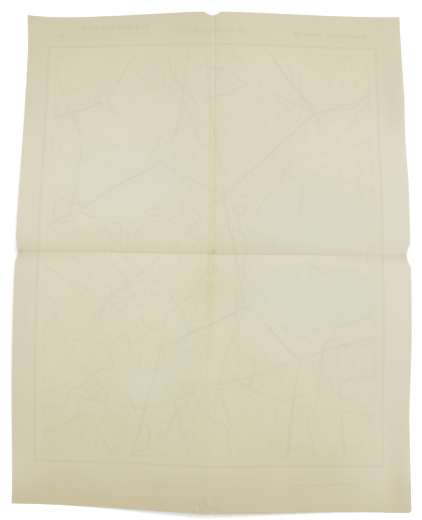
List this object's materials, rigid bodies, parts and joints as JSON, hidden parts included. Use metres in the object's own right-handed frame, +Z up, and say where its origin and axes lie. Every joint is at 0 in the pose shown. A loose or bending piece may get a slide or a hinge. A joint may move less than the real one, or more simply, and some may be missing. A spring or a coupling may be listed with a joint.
{
  "type": "paper map sheet",
  "caption": "Paper map folded once each way and opened out again, lying face down, with crossed creases, panels that spring up a little and nicks at the fold ends.",
  "frame": {"origin": "on the table, under the middle of the sheet's outline", "axes": "+Y to the top edge of the sheet, +X to the right edge seen from above, +Z up, away from the table"},
  "size_m": [0.434, 0.5589, 0.0181],
  "materials": {
    "map_paper": "matte"
  },
  "bodies": {
    "root": {"map_sheet": "map_paper"}
  },
  "joints": []
}
